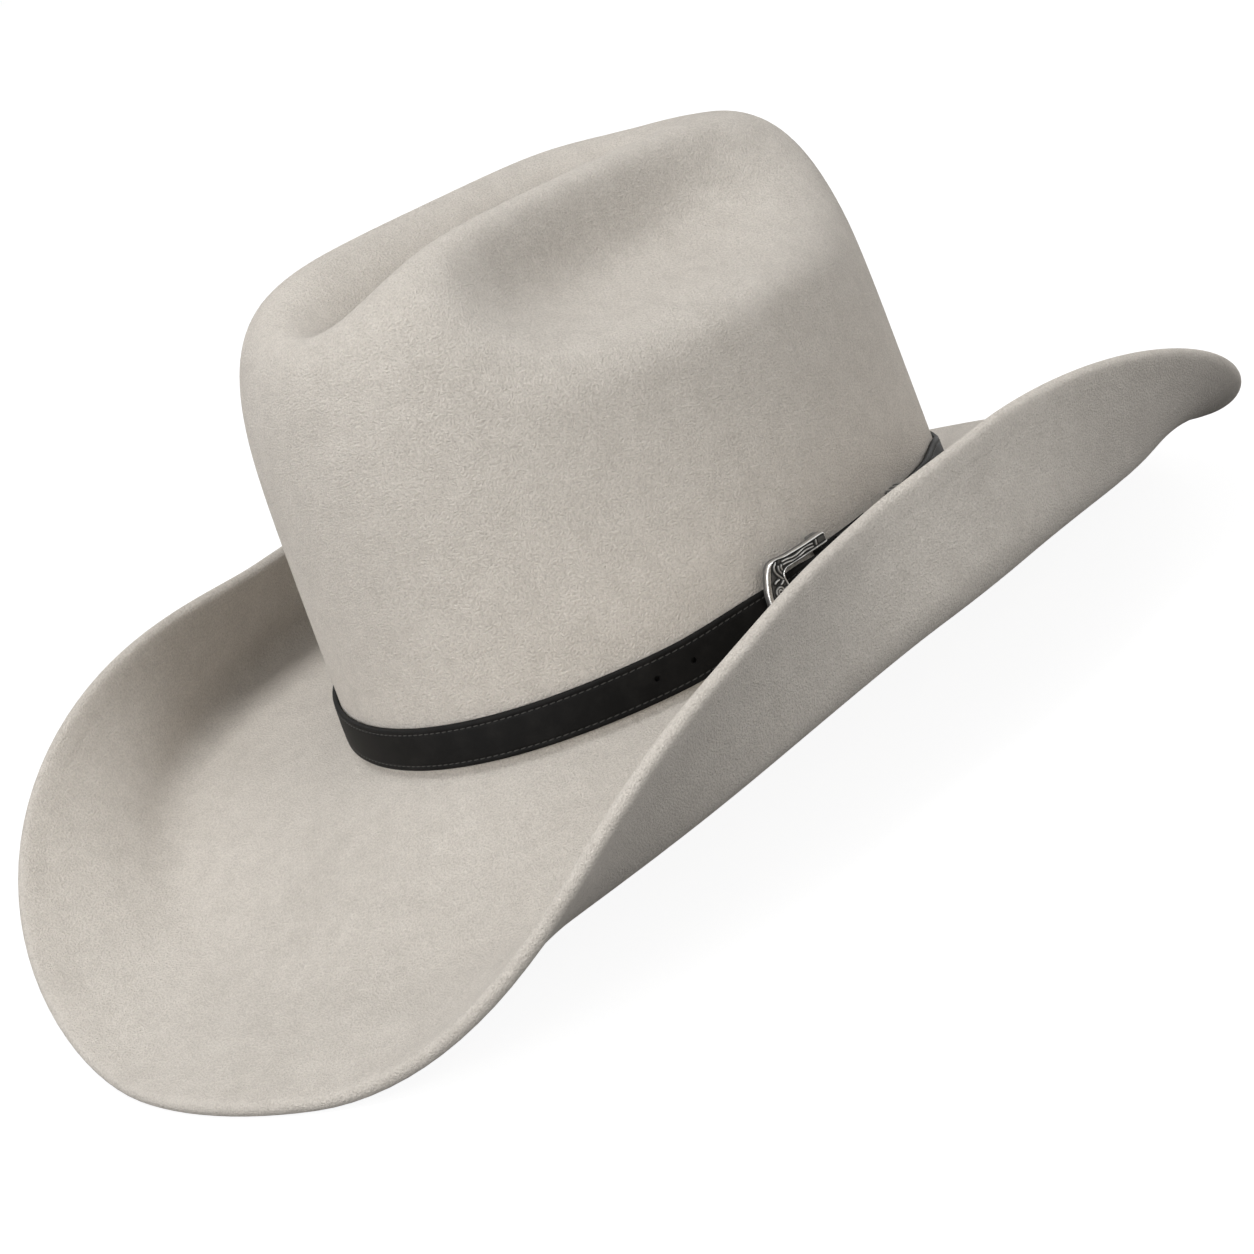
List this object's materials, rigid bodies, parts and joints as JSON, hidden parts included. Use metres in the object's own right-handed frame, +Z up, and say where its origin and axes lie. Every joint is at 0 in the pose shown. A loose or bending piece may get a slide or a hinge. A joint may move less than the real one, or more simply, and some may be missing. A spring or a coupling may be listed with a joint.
{
  "type": "western felt hat",
  "caption": "Wide-brimmed western felt hat with a creased crown, rolled brim sides and a buckled black leather band, worn on the head.",
  "frame": {"origin": "middle of the head opening, level with the brim break at the hat's sides", "axes": "+Z up through the crown, -Y to the hat's front, +X to the wearer's left"},
  "size_m": [0.2884, 0.4182, 0.1732],
  "materials": {
    "felt": "short brushed nap, light warm grey",
    "band_leather": "smooth black, semi-gloss",
    "antique_silver": "engraved, darkened in the recesses",
    "sweatband_leather": "soft tan, satin",
    "reed_cloth": "plain woven",
    "satin": "cream satin",
    "ribbon": "ribbed grosgrain"
  },
  "bodies": {
    "hat": {"felt_body": "felt", "hatband_strap": "band_leather", "buckle_chape": "band_leather", "strap_tip": "antique_silver", "sweatband": "sweatband_leather", "sweatband_reed": "reed_cloth", "reed_tape": "reed_cloth", "lining_side": "satin", "lining_tip": "satin", "rear_bow": "ribbon", "rear_bow_knot": "ribbon"},
    "frame": {"buckle_frame": "antique_silver"},
    "prong": {"buckle_prong": "antique_silver"},
    "keeper": {"strap_keeper": "antique_silver"}
  },
  "joints": [
    {"name": "frame_lift", "type": "hinge", "parent": "hat", "child": "frame", "pos_m": [0.08588, -0.01955, 0.01183], "axis": [-0.0727, 0.0243, 0.9971], "range_deg": [0, 8]},
    {"name": "prong_lift", "type": "hinge", "parent": "frame", "child": "prong", "pos_m": [0.08588, -0.01955, 0.01183], "axis": [-0.0727, 0.0243, 0.9971], "range_deg": [0, 35]},
    {"name": "keeper_slide", "type": "hinge", "parent": "hat", "child": "keeper", "pos_m": [-0.03856, 0.0005, 0.01033], "axis": [0, 0, 1], "range_deg": [-2, 2]}
  ]
}
